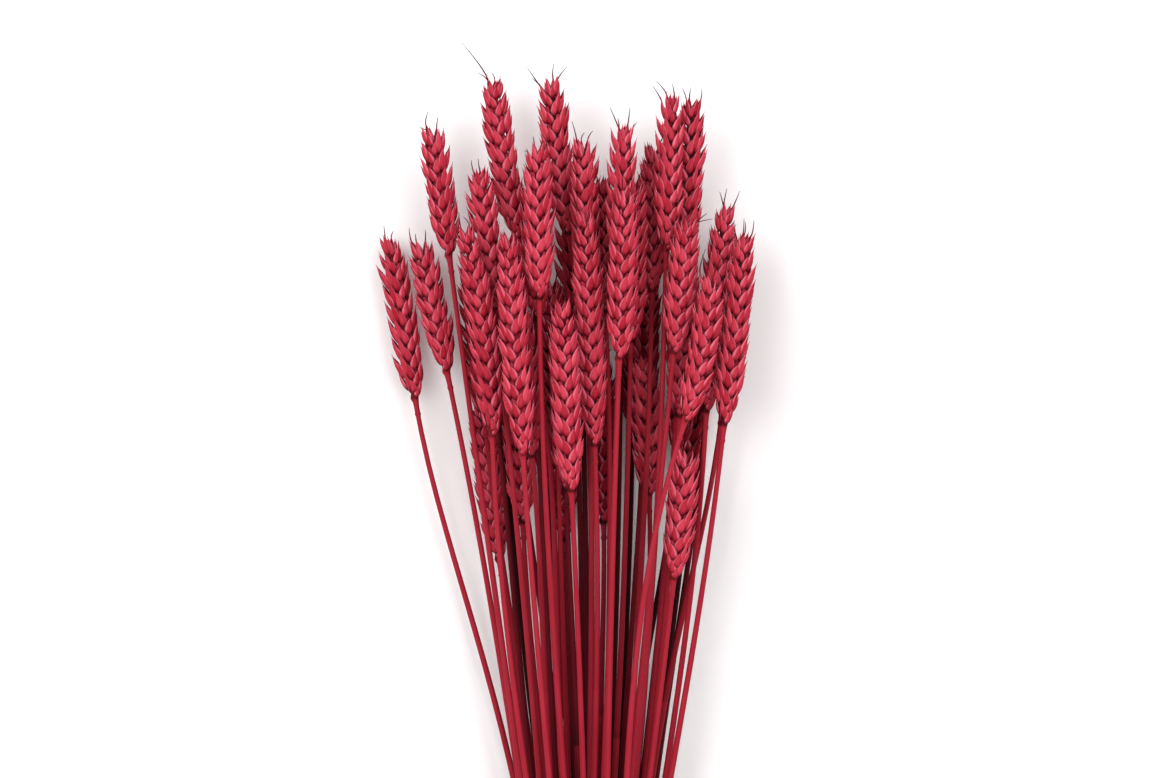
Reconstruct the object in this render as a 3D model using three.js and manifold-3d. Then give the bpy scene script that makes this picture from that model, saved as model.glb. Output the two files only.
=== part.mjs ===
// A tied bunch of dried wheat, dyed crimson, lying on a surface with its ears fanned out.
// Each stalk is one grown piece: a straw stem, a thin neck and a two-ranked ear of husks.
// Millimetres, +Z up. The stalks run along +Y, from their cut ends through the tie to the ears.

import * as THREE from "three";
import { mergeVertices } from "three/addons/utils/BufferGeometryUtils.js";
import Module from "manifold-3d";

const wasm = await Module();
wasm.setup();

// ---------------------------------------------------------------- driving dimensions

// The stem, from its cut end to its neck.
const STEM_RADIUS = 1.55;
const NECK_RADIUS = 1.0;
const STEM_SIDES = 5;
const TAIL_LENGTH = 118;
const TAIL_STEP = 1.3;
const TAIL_STEPS = 7;
const TAIL_SPREAD = 0.55;

// The waist, where the tie draws the stems together in level rows.
const SEAT_PITCH = 3.4;
const WAIST_ROW_PITCH = 3.35;
const WAIST_BEND = 20;

// The ears lie in the same rows, fanned apart. Each row arches over the one below, and
// waves a little, so that neighbours lie at different heights.
const EAR_ROW_PITCH = 13.4;
const EAR_REST_HEIGHT = 4.6;
const FAN_END = 360;
const ARCH_DROP = 0.13;
const ARCH_HALF_WIDTH = 70;
const WAVE_HEIGHT = 1.3;
const WAVE_LENGTH = 6.5;
const WAVE_STEP = 2.4;

// One ear: its rachis, its husks and the last husk at its top.
const NECK_LENGTH = 3;
const NECK_ROOT = 9;
const RACHIS_HALF_WIDTH = 2.5;
const RACHIS_CORNER = 2.1;
const RACHIS_HALF_DEPTH = 2.8;
const HUSK_PITCH = 5.1;
const HUSK_LENGTH = 11;
const HUSK_HALF_WIDTH = 4.7;
const HUSK_HALF_THICKNESS = 1.9;
const HUSK_LEAN = THREE.MathUtils.degToRad(23.5);
const HUSK_HOOD = 3.2;
const BELLY_AT = 4.6;
const TOP_LENGTH = 12;
const TOP_ROOT = 5;
const TOP_BELLY = 7.2;
const TOP_HALF_WIDTH = 1.8;
const TOP_HALF_DEPTH = 2.4;
const AWN_ROOT = 7;
const AWN_BASE = 0.35;
const AWN_RADIUS = 0.6;

// The tie: turns of twine side by side, with a knot and two short ends on top.
const TIE_SINK = 0.45;
const TIE_HALF_WIDTH = 15.7;
const TIE_HALF_HEIGHT = 13.4;
const TIE_SQUARENESS = 2.7;
const TIE_TURNS = 4;
const TIE_SEGMENTS = 24;
const TWINE_RADIUS = 1.25;
const TWINE_SIDES = 6;
const TWINE_GROOVE = 0.9;
const KNOT_HALF_SIZE = [3.5, 3, 2.3];
const KNOT_LIFT = 1.8;
const TWINE_ENDS = [
  [[0, 0, 0], [5, -5, 1.4], [9, -12, 1.6], [11, -21, 1.2]],
  [[0, 0, 0], [-4, -6, 1.4], [-6, -14, 1.6], [-11, -20, 1.2]],
];

// The stalks, row by row from the surface up, and from left to right in each row.
// tip and neck are the two ends of the ear, in mm from the middle of the waist, and
// turn rolls the ear about its own axis, in degrees. The rest is optional: bow bends
// the stem sideways, bend the ear, and awn is the end of a long awn.
const ROWS = [
  [
    { tip: [-45, 372], neck: [-39, 296], turn: 20 },
    { tip: [-15, 340], neck: [-13, 262], turn: -16, bow: 1 },
    { tip: [-5, 415], neck: [-4.5, 342], turn: 8, bow: 1 },
    { tip: [19, 385], neck: [18, 312], turn: 12 },
    { tip: [49, 360], neck: [43, 285], turn: -20, bow: -1 },
  ],
  [
    { tip: [-92.7, 404], neck: [-80, 326], bow: 8, turn: 24 },
    { tip: [-51.8, 330], neck: [-42, 253], turn: -14 },
    { tip: [-38, 400], neck: [-35, 330], turn: 10, bow: 6 },
    { tip: [-22, 355], neck: [-19, 282], turn: 20, bow: 1 },
    { tip: [4, 350], neck: [5, 270], turn: -12, bow: -2 },
    { tip: [25, 392], neck: [23, 318], turn: 15, bow: -2 },
    { tip: [43, 372], neck: [38, 300], turn: -25, bow: -8 },
  ],
  [
    { tip: [-78.8, 402], neck: [-65.3, 338], turn: -18 },
    { tip: [-56, 392], neck: [-48.5, 316], turn: 14, bow: 2 },
    { tip: [-34.7, 333], neck: [-31.5, 270], turn: 10 },
    { tip: [-11, 418], neck: [-8, 343], turn: 25 },
    { tip: [13, 418], neck: [12.5, 345], turn: -8, bow: 0.5 },
    { tip: [23, 350.6], neck: [25.5, 282], turn: 18 },
    { tip: [41, 405], neck: [38, 330], turn: -15, bow: -1 },
    { tip: [57, 395], neck: [51, 320], turn: 12, bow: -3 },
  ],
  [
    { tip: [-72.9, 453.2], neck: [-64.4, 390.2], turn: -26 },
    { tip: [-52, 398], neck: [-42.5, 312], turn: -10, bow: -2 },
    { tip: [-45.5, 474.3], neck: [-32.9, 397.8], turn: 8, bow: -4, bend: -1.5, awn: [-59, 489] },
    { tip: [-18.6, 385], neck: [-16, 305], turn: -8, bow: -1 },
    { tip: [-19.4, 475.2], neck: [-10.4, 400.1], turn: -8, bow: -2.5, bend: -1 },
    { tip: [3.2, 430.7], neck: [5.9, 365], turn: 10 },
    { tip: [27.9, 445], neck: [26.6, 374], turn: -16 },
    { tip: [44.6, 466.2], neck: [41.4, 388.8], turn: -15 },
    { tip: [66, 405], neck: [58, 322], turn: -8, bow: -9 },
  ],
  [
    { tip: [-51.8, 433.4], neck: [-44.1, 366], turn: 22 },
    { tip: [-26.5, 436], neck: [-25.5, 362], turn: 8 },
    { tip: [-13.8, 361], neck: [-11.8, 285], turn: -12, bow: 2 },
    { tip: [-4.5, 447.3], neck: [-2.3, 377.6], turn: -26 },
    { tip: [19, 430], neck: [17, 352], turn: 12, bow: 1 },
    { tip: [35.1, 467.6], neck: [32.9, 392], turn: 38, bow: 2.5 },
    { tip: [42.6, 392], neck: [38.5, 318], turn: -10, bow: 1 },
    { tip: [60.8, 418], neck: [50.9, 320], turn: 15, bend: -1.2 },
  ],
  [
    { tip: [-58.5, 408.6], neck: [-45, 308.7], turn: 10, bend: 2.5 },
    { tip: [-34.5, 380], neck: [-27, 300], turn: -16, bow: -3 },
    { tip: [-3.6, 415.8], neck: [0.9, 304.7], turn: -6 },
    { tip: [13.5, 453.2], neck: [12.2, 386], turn: 34 },
    { tip: [42.8, 411.8], neck: [36, 346], turn: 10 },
    { tip: [42.8, 307.8], neck: [36, 244.8], turn: -10 },
    { tip: [68.4, 404.6], neck: [58.5, 314.1], turn: 20 },
  ],
  [
    { tip: [-38.3, 405.5], neck: [-31.1, 300.2], turn: -12 },
    { tip: [-24.8, 444.6], neck: [-23.9, 370.4], turn: -8 },
    { tip: [-14.4, 374.9], neck: [-9.5, 284.4], turn: 6 },
    { tip: [14.9, 424.4], neck: [11.7, 343.4], turn: -10 },
    { tip: [52.7, 385.7], neck: [40.1, 315.5], turn: 18, bend: 2.5 },
  ],
];

// Distances from the waist at which the stem's rings stand, up to a gap below the neck.
const STEM_STATIONS = [-45, -14, 14, 45, 110, 200];
const NECK_GAP = 40;

// A block under the surface, larger than the bunch.
const SURFACE_BLOCK = 2000;

// Edges shorter than this, where a husk, the neck or the top meet, are drawn together.
const FINEST_EDGE = 0.02;

// ---------------------------------------------------------------- worked-out dimensions

const TWINE_THICKNESS = 2 * TWINE_RADIUS;
const WAIST_CENTRE = TIE_HALF_HEIGHT + TWINE_THICKNESS - TIE_SINK;
const LOWEST_SEAT = WAIST_CENTRE - ((ROWS.length - 1) * WAIST_ROW_PITCH) / 2;

// ---------------------------------------------------------------- materials

const straw = new THREE.MeshStandardMaterial({ color: 0xb03046, roughness: 0.72, metalness: 0 });
const twine = new THREE.MeshStandardMaterial({ color: 0xb89566, roughness: 0.9, metalness: 0 });

// ---------------------------------------------------------------- solids

// A closed geometry as a solid: only its positions are kept, with shared corners merged.
function solidOf(geometry) {
  const bare = geometry.index ? geometry.clone() : geometry;
  bare.deleteAttribute("normal");
  bare.deleteAttribute("uv");
  const merged = mergeVertices(bare, 1e-4);
  return new wasm.Manifold(
    new wasm.Mesh({
      numProp: 3,
      vertProperties: new Float32Array(merged.attributes.position.array),
      triVerts: new Uint32Array(merged.index.array),
    }),
  );
}

function geometryOf(solid) {
  const mesh = solid.getMesh();
  const geometry = new THREE.BufferGeometry();
  const position = new THREE.BufferAttribute(mesh.vertProperties, 3);
  geometry.setAttribute("position", position);
  geometry.setIndex(new THREE.BufferAttribute(mesh.triVerts, 1));
  return geometry;
}

// A closed solid from corner points and outward triangles.
function solidOfFaces(points, faces) {
  const geometry = new THREE.BufferGeometry();
  const flat = points.flatMap((point) => [point.x, point.y, point.z]);
  geometry.setAttribute("position", new THREE.Float32BufferAttribute(flat, 3));
  geometry.setIndex(faces);
  return solidOf(geometry);
}

// Rings of points, first to last, skinned into one closed solid with a fan at each end.
function solidOfRings(rings, startPoint, endPoint) {
  const sides = rings[0].length;
  const points = [startPoint, ...rings.flat(), endPoint];
  const faces = [];
  const last = points.length - 1;
  const corner = (ring, side) => 1 + ring * sides + (side % sides);
  for (let side = 0; side < sides; side += 1) {
    faces.push(0, corner(0, side + 1), corner(0, side));
    for (let ring = 0; ring < rings.length - 1; ring += 1) {
      const a = corner(ring, side);
      const b = corner(ring, side + 1);
      const c = corner(ring + 1, side + 1);
      const d = corner(ring + 1, side);
      faces.push(a, b, c, a, c, d);
    }
    faces.push(corner(rings.length - 1, side), corner(rings.length - 1, side + 1), last);
  }
  return solidOfFaces(points, faces);
}

// A ring of points round a centre, square to a direction.
function ringOf(centre, frame, radius, sides) {
  const ring = [];
  for (let i = 0; i < sides; i += 1) {
    const angle = ((i + 0.5) / sides) * 2 * Math.PI;
    ring.push(
      centre
        .clone()
        .addScaledVector(frame.face, radius * Math.cos(angle))
        .addScaledVector(frame.side, radius * Math.sin(angle)),
    );
  }
  return ring;
}

// Directions that go with an axis: face looks up out of the bunch, side lies across it,
// and both are rolled about the axis by an angle.
function frameAlong(axis, roll) {
  const along = axis.clone().normalize();
  const face = new THREE.Vector3(0, 0, 1);
  face.addScaledVector(along, -face.dot(along)).normalize();
  face.applyAxisAngle(along, roll);
  const side = new THREE.Vector3().crossVectors(along, face);
  return { along, face, side };
}

// ---------------------------------------------------------------- one stalk

// Distance travelled outwards at a distance y from the waist: the stems leave it
// parallel and bend out to straight lines.
function spreadAt(y) {
  return Math.hypot(y, WAIST_BEND) - WAIST_BEND;
}

// The height at which an ear of a row lies, at a distance x from the middle.
function earHeight(row, x) {
  const arch = 1 - ARCH_DROP * (x / ARCH_HALF_WIDTH) ** 2;
  const wave = row > 0 ? WAVE_HEIGHT * Math.sin(x / WAVE_LENGTH + WAVE_STEP * row) : 0;
  return EAR_REST_HEIGHT + row * EAR_ROW_PITCH * arch + wave;
}

// The line that a stalk grows along, as a function of its distance from the waist.
function centreLine(stalk, row, seat, seatsInRow) {
  const seatX = (seat - (seatsInRow - 1) / 2) * SEAT_PITCH;
  const seatZ = LOWEST_SEAT + row * WAIST_ROW_PITCH;
  const [neckX, neckY] = stalk.neck;
  const [tipX, tipY] = stalk.tip;
  const bow = 16 * (stalk.bow ?? 0);
  const bend = 4 * (stalk.bend ?? 0);
  const reachX = neckX - seatX;
  const earSlope = (tipX - neckX + bend) / (tipY - neckY);
  const neckSpread = spreadAt(neckY);
  const slopeAtNeck = (earSlope * neckSpread * Math.hypot(neckY, WAIST_BEND)) / neckY;

  return (y) => {
    if (y < 0) {
      const part = (TAIL_SPREAD * spreadAt(y)) / spreadAt(TAIL_LENGTH);
      return new THREE.Vector3(seatX * (1 + part), y, seatZ + (seatZ - LOWEST_SEAT) * part);
    }
    let x;
    if (y > neckY) {
      const part = (y - neckY) / (tipY - neckY);
      x = neckX + (tipX - neckX) * part + bend * part * (1 - part);
    } else {
      const u = spreadAt(y) / neckSpread;
      x = seatX + reachX * u + (slopeAtNeck - reachX) * (u ** 3 - u ** 2);
      x += bow * (u * (1 - u)) ** 2;
    }
    const fan = Math.sin((Math.PI / 2) * Math.min(1, spreadAt(y) / spreadAt(FAN_END)));
    return new THREE.Vector3(x, y, THREE.MathUtils.lerp(seatZ, earHeight(row, x), fan));
  };
}

// How full the ear is at a level, from its neck (0) to its tip (1).
function fullness(part) {
  const base = Math.min(1, 0.6 + 3.2 * part);
  const top = Math.min(1, 0.6 + 1.7 * (1 - part));
  return base * top;
}

// The ear: a zigzag rachis with husks in two ranks. Husk k spans the levels k to k + 2, on the
// right where k is even and on the left where it is odd. Its root is a diamond of four corners
// (bottom, front, top and back), which widens to a belly and closes to a point. Each corner is
// given as [across, outwards, along], in the ear's own frame.
function earSolid(pointInEar, frame, length) {
  const husks = Math.round((length - TOP_LENGTH - NECK_LENGTH) / HUSK_PITCH);
  const pitch = (length - TOP_LENGTH - NECK_LENGTH) / husks;
  const points = [];
  const faces = [];
  const rankOf = (level) => (level % 2 === 0 ? 1 : -1);
  const place = (across, outwards, along) => {
    const point = pointInEar(along);
    point.addScaledVector(frame.side, across);
    point.addScaledVector(frame.face, outwards);
    return points.push(point) - 1;
  };
  const alongAt = (level) => NECK_LENGTH + level * pitch;
  const sizeAt = (level) => fullness(level / (husks + 1));

  const middle = [];
  for (let level = 0; level < husks + 2; level += 1) {
    const across = rankOf(level) * RACHIS_HALF_WIDTH * sizeAt(level);
    middle.push(place(across, 0, alongAt(level)));
  }
  const front = [];
  const back = [];
  for (let k = 0; k < husks; k += 1) {
    const across = rankOf(k) * RACHIS_CORNER * sizeAt(k);
    const outwards = RACHIS_HALF_DEPTH * sizeAt(k);
    front.push(place(across, outwards, alongAt(k + 1)));
    back.push(place(across, -outwards, alongAt(k + 1)));
  }

  // The rachis between the two ranks, on the front and on the back.
  for (const [ridge, isFront] of [[front, true], [back, false]]) {
    const cover = (a, b, c, rank) => {
      faces.push(...((rank > 0) === isFront ? [a, b, c] : [a, c, b]));
    };
    cover(middle[0], ridge[0], middle[1], rankOf(0));
    for (let k = 1; k < husks; k += 1) {
      cover(ridge[k - 1], middle[k + 1], ridge[k], rankOf(k - 1));
      cover(ridge[k - 1], ridge[k], middle[k], rankOf(k - 1));
    }
    cover(ridge[husks - 1], middle[husks + 1], middle[husks], rankOf(husks - 1));
  }

  // The husks.
  const rise = Math.cos(HUSK_LEAN);
  const lean = Math.sin(HUSK_LEAN);
  for (let k = 0; k < husks; k += 1) {
    const rank = rankOf(k);
    const size = sizeAt(k);
    const rootAlong = alongAt(k + 1);
    const rootAcross = RACHIS_HALF_WIDTH * size;
    const reach = (distance, outer, inward, outwards) =>
      place(
        rank * (rootAcross + size * (distance * lean + outer * rise - inward)),
        size * outwards,
        rootAlong + size * (distance * rise - outer * lean),
      );
    const root = [middle[k], front[k], middle[k + 2], back[k]];
    const belly = [
      reach(BELLY_AT, HUSK_HALF_THICKNESS, 0, 0),
      reach(BELLY_AT, 0, HUSK_HOOD, HUSK_HALF_WIDTH),
      reach(BELLY_AT, -HUSK_HALF_THICKNESS, 0, 0),
      reach(BELLY_AT, 0, HUSK_HOOD, -HUSK_HALF_WIDTH),
    ];
    const point = reach(HUSK_LENGTH, 0, 0, 0);
    for (let i = 0; i < 4; i += 1) {
      const j = (i + 1) % 4;
      const sheet = [
        [root[i], root[j], belly[j]],
        [root[i], belly[j], belly[i]],
        [belly[i], belly[j], point],
      ];
      for (const [a, b, c] of sheet) {
        faces.push(...(rank > 0 ? [a, c, b] : [a, b, c]));
      }
    }
  }
  return solidOfFaces(points, faces);
}

// The last husk closes the ear between its two ranks, and runs out to the tip.
function topSolid(pointInEar, frame, length) {
  const root = pointInEar(length - TOP_LENGTH - TOP_ROOT);
  const tip = pointInEar(length);
  const belly = pointInEar(length - TOP_BELLY);
  const corner = (outwards, across) =>
    belly
      .clone()
      .addScaledVector(frame.face, outwards * TOP_HALF_DEPTH)
      .addScaledVector(frame.side, across * TOP_HALF_WIDTH);
  const ring = [corner(1, 1), corner(-1, 1), corner(-1, -1), corner(1, -1)];
  return solidOfRings([ring], root, tip);
}

function stalkSolid(stalk, row, seat, seatsInRow) {
  const lineAt = centreLine(stalk, row, seat, seatsInRow);
  const neckY = stalk.neck[1];
  const neck = lineAt(neckY);
  const tip = lineAt(stalk.tip[1]);
  const earLength = neck.distanceTo(tip);
  const roll = THREE.MathUtils.degToRad(stalk.turn ?? 0);
  const earFrame = frameAlong(tip.clone().sub(neck), roll);
  const pointInEar = (distance) => lineAt(neckY + ((tip.y - neckY) * distance) / earLength);

  const cutY = TAIL_STEP * ((3 * row + 5 * seat) % TAIL_STEPS) - TAIL_LENGTH;
  const stations = [cutY, ...STEM_STATIONS.filter((y) => y < neckY - NECK_GAP), neckY];
  const rings = stations.map((y) => {
    const axis = lineAt(y + 1).sub(lineAt(y - 1));
    const part = Math.max(0, y) / neckY;
    const radius = THREE.MathUtils.lerp(STEM_RADIUS, NECK_RADIUS, part);
    return ringOf(lineAt(y), frameAlong(axis, 0), radius, STEM_SIDES);
  });
  const stem = solidOfRings(rings, lineAt(cutY), pointInEar(NECK_LENGTH + NECK_ROOT));
  const ear = earSolid(pointInEar, earFrame, earLength);
  const top = topSolid(pointInEar, earFrame, earLength);
  const whole = stem.add(ear).add(top);
  if (!stalk.awn) {
    return whole;
  }
  const root = pointInEar(earLength - AWN_ROOT);
  const end = new THREE.Vector3(stalk.awn[0], stalk.awn[1], tip.z);
  const awnFrame = frameAlong(end.clone().sub(root), 0);
  const awnRing = ringOf(root.clone().lerp(end, AWN_BASE), awnFrame, AWN_RADIUS, 3);
  return whole.add(solidOfRings([awnRing], root, end));
}

// ---------------------------------------------------------------- the tie

// How far the inside of the tie lies from its middle, at an angle from straight across:
// an oval that is squarer than an ellipse, so that it hugs the rows of stems.
function tieReach(angle) {
  const across = Math.abs(Math.cos(angle) / TIE_HALF_WIDTH) ** TIE_SQUARENESS;
  const upwards = Math.abs(Math.sin(angle) / TIE_HALF_HEIGHT) ** TIE_SQUARENESS;
  return (across + upwards) ** (-1 / TIE_SQUARENESS);
}

// Turns of twine as one ring round the stems, with a knot sunk into its top and two ends
// that lie over the stems.
function tieSolid() {
  const pitch = 2 * TWINE_RADIUS;
  const halfLength = (TIE_TURNS * pitch) / 2;
  const groove = TIE_HALF_HEIGHT + TWINE_THICKNESS - TWINE_GROOVE;
  const profile = [new THREE.Vector2(TIE_HALF_HEIGHT, halfLength - TWINE_GROOVE / 2)];
  profile.push(new THREE.Vector2(TIE_HALF_HEIGHT, -halfLength + TWINE_GROOVE / 2));
  for (let turn = 0; turn < TIE_TURNS; turn += 1) {
    const start = turn * pitch - halfLength;
    profile.push(new THREE.Vector2(groove, start));
    profile.push(new THREE.Vector2(TIE_HALF_HEIGHT + TWINE_THICKNESS, start + pitch / 2));
  }
  profile.push(new THREE.Vector2(groove, halfLength));
  profile.push(profile[0].clone());
  const ring = new THREE.LatheGeometry(profile, TIE_SEGMENTS);
  const position = ring.attributes.position;
  for (let i = 0; i < position.count; i += 1) {
    const radius = Math.hypot(position.getX(i), position.getZ(i));
    const angle = Math.atan2(position.getZ(i), position.getX(i));
    const reach = radius - TIE_HALF_HEIGHT + tieReach(angle);
    position.setX(i, reach * Math.cos(angle));
    position.setZ(i, WAIST_CENTRE + reach * Math.sin(angle));
  }

  const top = new THREE.Vector3(0, 0, WAIST_CENTRE + TIE_HALF_HEIGHT + KNOT_LIFT);
  const knot = new THREE.SphereGeometry(1, 8, 6);
  knot.scale(...KNOT_HALF_SIZE);
  knot.translate(top.x, top.y, top.z);
  let solid = solidOf(ring).add(solidOf(knot));
  for (const end of TWINE_ENDS) {
    const path = end.map((step) => top.clone().add(new THREE.Vector3(...step)));
    const rings = path.map((point, i) => {
      const axis = path[Math.min(i + 1, path.length - 1)].clone().sub(path[Math.max(i - 1, 0)]);
      return ringOf(point, frameAlong(axis, 0), TWINE_RADIUS, TWINE_SIDES);
    });
    solid = solid.add(solidOfRings(rings, path[0], path[path.length - 1]));
  }
  return solid;
}

// ---------------------------------------------------------------- the bunch

// What would stand below the surface is pressed flat against it.
function restedOnSurface(solid) {
  const block = new THREE.BoxGeometry(SURFACE_BLOCK, SURFACE_BLOCK, SURFACE_BLOCK);
  block.translate(0, 0, -SURFACE_BLOCK / 2);
  return solid.subtract(solidOf(block)).simplify(FINEST_EDGE);
}

const bunch = new THREE.Group();

function addPiece(name, solid, material) {
  const mesh = new THREE.Mesh(geometryOf(restedOnSurface(solid)), material);
  mesh.name = name;
  bunch.add(mesh);
}

addPiece("tie", tieSolid(), twine);
ROWS.flatMap((stalks, row) =>
  stalks.map((stalk, seat) => stalkSolid(stalk, row, seat, stalks.length)),
).forEach((solid, index) => {
  addPiece(`wheat_stalk_${String(index + 1).padStart(2, "0")}`, solid, straw);
});

// The origin is under the middle of the whole bunch, on the surface.
const middle = new THREE.Box3().setFromObject(bunch).getCenter(new THREE.Vector3());
bunch.position.set(-middle.x, -middle.y, 0);

const group = new THREE.Group();
group.add(bunch);

export default group;
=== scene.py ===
"""A tied bunch of dried wheat, dyed crimson, lying on a plain pale floor and seen from above.

Each stalk is one grown piece: a straw stem, a thin neck and an ear of husks in two ranks.
Lengths are millimetres while a piece is made, and metres once it is placed.
"""

import logging
import random
from dataclasses import dataclass, field
from enum import Enum
from math import acos, atan2, cos, hypot, pi, radians, sin, tan
from typing import Any, Callable, Iterable, Sequence

import bmesh
import bpy
from bmesh.types import BMEdge, BMesh, BMFace, BMVert
from bpy.types import Material, Mesh, Node, NodeSocket, Object
from mathutils import Matrix, Vector


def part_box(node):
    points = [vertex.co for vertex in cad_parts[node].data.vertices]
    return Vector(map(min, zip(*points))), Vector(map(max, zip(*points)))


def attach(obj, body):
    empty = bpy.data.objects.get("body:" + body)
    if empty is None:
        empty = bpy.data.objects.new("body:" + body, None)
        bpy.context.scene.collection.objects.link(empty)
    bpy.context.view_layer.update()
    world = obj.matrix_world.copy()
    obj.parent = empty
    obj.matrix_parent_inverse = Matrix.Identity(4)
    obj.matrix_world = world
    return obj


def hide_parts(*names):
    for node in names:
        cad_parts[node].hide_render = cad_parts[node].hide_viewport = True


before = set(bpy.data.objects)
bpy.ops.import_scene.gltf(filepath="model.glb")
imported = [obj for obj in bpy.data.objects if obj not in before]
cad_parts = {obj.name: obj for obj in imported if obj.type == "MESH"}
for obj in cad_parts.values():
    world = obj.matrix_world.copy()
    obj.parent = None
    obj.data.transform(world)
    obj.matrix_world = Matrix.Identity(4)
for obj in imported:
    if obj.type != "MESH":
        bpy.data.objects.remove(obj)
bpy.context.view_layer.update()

LOG = logging.getLogger("dried_wheat")
MM = 0.001
SEEDS_APART = 7919
FIRST_SEED = 17
UP = Vector((0.0, 0.0, 1.0))


def placed(name: str, data: Any) -> Object:
    """Puts a new object with its data in the scene."""
    made = bpy.data.objects.new(name, data)
    bpy.context.scene.collection.objects.link(made)
    return made


# ---- shader expressions


class Sock:
    """A number that a node gives, which Python's operators work on by adding Math nodes."""

    def __init__(self, graph: "Graph", out: NodeSocket) -> None:
        """Wraps an output socket of a node graph."""
        self.graph = graph
        self.out = out

    def __add__(self, other: Any) -> "Sock":
        """Sum."""
        return self.graph.math("ADD", self, other)

    __radd__ = __add__

    def __mul__(self, other: Any) -> "Sock":
        """Product."""
        return self.graph.math("MULTIPLY", self, other)

    __rmul__ = __mul__

    def __sub__(self, other: Any) -> "Sock":
        """Difference."""
        return self.graph.math("SUBTRACT", self, other)

    def __rsub__(self, other: Any) -> "Sock":
        """Difference, the other way round."""
        return self.graph.math("SUBTRACT", other, self)

    def clamped(self) -> "Sock":
        """The number, kept from 0 to 1."""
        return self.graph.math("MULTIPLY", self, 1.0, clamp=True)

    def sine(self) -> "Sock":
        """The number's sine."""
        return self.graph.math("SINE", self)

    def ramped(self, low: float, high: float) -> "Sock":
        """A smooth step.

        Args:
            low: Where the step starts, at 0.
            high: Where the step ends, at 1.

        Returns:
            The step's height, from 0 to 1.
        """
        inputs = {0: self, 1: low, 2: high, 3: 0.0, 4: 1.0}
        settings = {"interpolation_type": "SMOOTHSTEP"}
        return Sock(self.graph, self.graph.node("ShaderNodeMapRange", settings, inputs).outputs[0])


class Graph:
    """The node graph of one material, with one method that adds a node of any kind."""

    def __init__(self, name: str) -> None:
        """Makes an empty material.

        Args:
            name: The material's name.
        """
        self.material = bpy.data.materials.new(name)
        self.material.use_nodes = True
        self.tree = self.material.node_tree
        self.tree.nodes.clear()

    def node(self, kind: str, settings: dict[str, Any], inputs: dict[Any, Any]) -> Node:
        """Adds a node.

        Args:
            kind: The node's type.
            settings: Its own settings, set before its sockets.
            inputs: The value or link of each socket, by the socket's name or number.

        Returns:
            The node.
        """
        made = self.tree.nodes.new(kind)
        for key, value in settings.items():
            setattr(made, key, value)
        for key, value in inputs.items():
            link = value.out if isinstance(value, Sock) else value
            if isinstance(link, NodeSocket):
                self.tree.links.new(link, made.inputs[key])
            else:
                made.inputs[key].default_value = link
        return made

    def math(self, operation: str, *values: Any, clamp: bool = False) -> Sock:
        """Adds a Math node.

        Args:
            operation: What it does.
            values: Its numbers or links, in order.
            clamp: Whether the result is kept from 0 to 1.

        Returns:
            The result.
        """
        settings = {"operation": operation, "use_clamp": clamp}
        return Sock(self, self.node("ShaderNodeMath", settings, dict(enumerate(values))).outputs[0])

    def mix(self, share: Any, a: Any, b: Any) -> NodeSocket:
        """Mixes two colours or links: a share of b, from 0 to 1, over a."""
        settings = {"data_type": "RGBA", "blend_type": "MIX", "clamp_factor": True}
        return self.node("ShaderNodeMix", settings, {0: share, 6: a, 7: b}).outputs[2]

    def noise(self, place: Any, scale: float, detail: float = 2.0, rough: float = 0.5) -> Sock:
        """Soft noise about one half: its fineness, its finer layers and their strength."""
        inputs = {"Vector": place, "Scale": scale, "Detail": detail, "Roughness": rough}
        return Sock(self, self.node("ShaderNodeTexNoise", {}, inputs).outputs["Fac"])

    def stretched(self, place: Any, by: tuple[float, float, float]) -> NodeSocket:
        """Coordinates multiplied axis by axis."""
        made = self.node("ShaderNodeVectorMath", {"operation": "MULTIPLY"}, {0: place, 1: by})
        return made.outputs[0]

    def parts(self, place: Any) -> tuple[Sock, Sock, Sock]:
        """The three numbers of a vector."""
        made = self.node("ShaderNodeSeparateXYZ", {}, {0: place})
        return tuple(Sock(self, out) for out in made.outputs)

    def grain(self) -> NodeSocket:
        """The grain that the mesh carries: across, outwards and along."""
        made = self.node("ShaderNodeAttribute", {"attribute_name": "grain"}, {})
        return made.outputs["Vector"]

    def tone(self) -> Sock:
        """The tone that the mesh carries, from dark (0) to light (1)."""
        made = self.node("ShaderNodeAttribute", {"attribute_name": "tone"}, {})
        return Sock(self, made.outputs["Fac"])

    def place(self) -> NodeSocket:
        """The point's place in the object, in metres."""
        return self.node("ShaderNodeTexCoord", {}, {}).outputs["Object"]

    def surface(self, fixed: dict[str, Any], varied: dict[str, Any]) -> Material:
        """Finishes the material with one Principled shader.

        Args:
            fixed: The sockets that are the same all over.
            varied: The sockets that follow the pattern.

        Returns:
            The material.
        """
        shader = self.node("ShaderNodeBsdfPrincipled", {}, {**fixed, **varied})
        self.node("ShaderNodeOutputMaterial", {}, {"Surface": shader.outputs[0]})
        return self.material

    def bump(self, height: Any, depth: float, strength: float = 1.0) -> NodeSocket:
        """A normal, bumpy with a pattern from 0 to 1 that stands a depth in metres high."""
        inputs = {"Height": height, "Distance": depth, "Strength": strength}
        return self.node("ShaderNodeBump", {}, inputs).outputs[0]


Colour = tuple[float, float, float, float]


def dye(red: int, green: int, blue: int) -> Colour:
    """A colour in the light that a shader works with.

    Args:
        red: Its red as a screen shows it, from 0 to 255.
        green: Its green.
        blue: Its blue.

    Returns:
        The colour.
    """
    shares = (value / 255.0 for value in (red, green, blue))
    linear = (c / 12.92 if c <= 0.04045 else ((c + 0.055) / 1.055) ** 2.4 for c in shares)
    return (*linear, 1.0)


# ---- finishes


class Slot(Enum):
    """The record's finishes."""

    STRAW = "dyed_straw"
    TWINE = "twine"


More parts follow.
